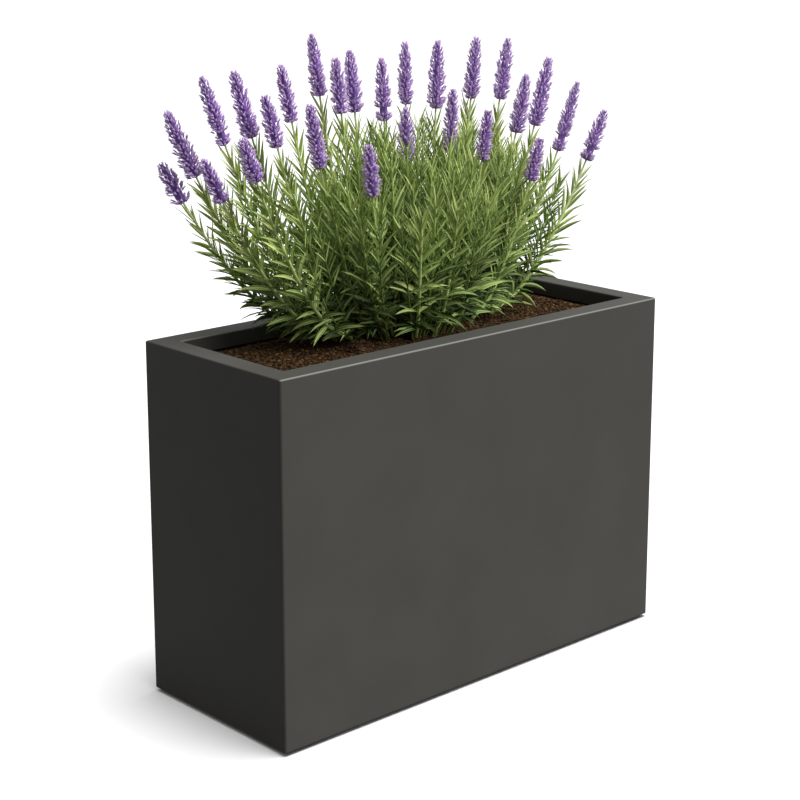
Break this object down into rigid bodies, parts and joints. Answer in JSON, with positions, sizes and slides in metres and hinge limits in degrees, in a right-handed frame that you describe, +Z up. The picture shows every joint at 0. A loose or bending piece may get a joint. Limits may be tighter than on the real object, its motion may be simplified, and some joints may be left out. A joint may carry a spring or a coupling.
{
  "type": "polyester planter",
  "caption": "Rectangular polyester floor planter with a flat turned-in rim, raised on feet, filled with soil and planted with lavender.",
  "frame": {"origin": "on the ground, under the middle of the planter", "axes": "+Z up, X along the planter's length, front wall towards -Y"},
  "size_m": [1, 0.4, 1.2499],
  "materials": {
    "polyester": "matte",
    "plywood": "matte",
    "moulded_nylon": "satin",
    "rubber": "matte",
    "screw_steel": "satin",
    "clay_pellets": "matte",
    "fleece": "matte",
    "soil": "matte",
    "root_soil": "matte",
    "bark": "matte",
    "leaf": "satin",
    "stem": "satin",
    "floret": "matte"
  },
  "bodies": {
    "planter": {"base_board": "plywood", "clay_drainage_layer": "clay_pellets", "drain_bush_left": "moulded_nylon", "drain_bush_right": "moulded_nylon", "drain_nut_left": "moulded_nylon", "drain_nut_right": "moulded_nylon", "drain_seal_left": "rubber", "drain_seal_right": "rubber", "drain_sieve_left": "moulded_nylon", "drain_sieve_right": "moulded_nylon", "filter_fleece": "fleece", "flower_spikes_left": "floret", "flower_spikes_middle": "floret", "flower_spikes_right": "floret", "flower_stems_left": "stem", "flower_stems_middle": "stem", "flower_stems_right": "stem", "foot_back_left": "moulded_nylon", "foot_back_right": "moulded_nylon", "foot_front_left": "moulded_nylon", "foot_front_right": "moulded_nylon", "foot_screws": "screw_steel", "leafy_shoots_left": "leaf", "leafy_shoots_middle": "leaf", "leafy_shoots_right": "leaf", "planter_shell": "polyester", "potting_soil": "soil", "root_ball_left": "root_soil", "root_ball_middle": "root_soil", "root_ball_right": "root_soil", "sole_back_left": "rubber", "sole_back_right": "rubber", "sole_front_left": "rubber", "sole_front_right": "rubber", "woody_crown_left": "bark", "woody_crown_middle": "bark", "woody_crown_right": "bark"},
    "left_plug": {"drain_plug_left": "rubber"},
    "right_plug": {"drain_plug_right": "rubber"}
  },
  "joints": [
    {"name": "left_plug_pull", "type": "slide", "parent": "planter", "child": "left_plug", "axis": [0, 0, 1], "range_m": [-0.01, 0]},
    {"name": "right_plug_pull", "type": "slide", "parent": "planter", "child": "right_plug", "axis": [0, 0, 1], "range_m": [-0.01, 0]}
  ]
}
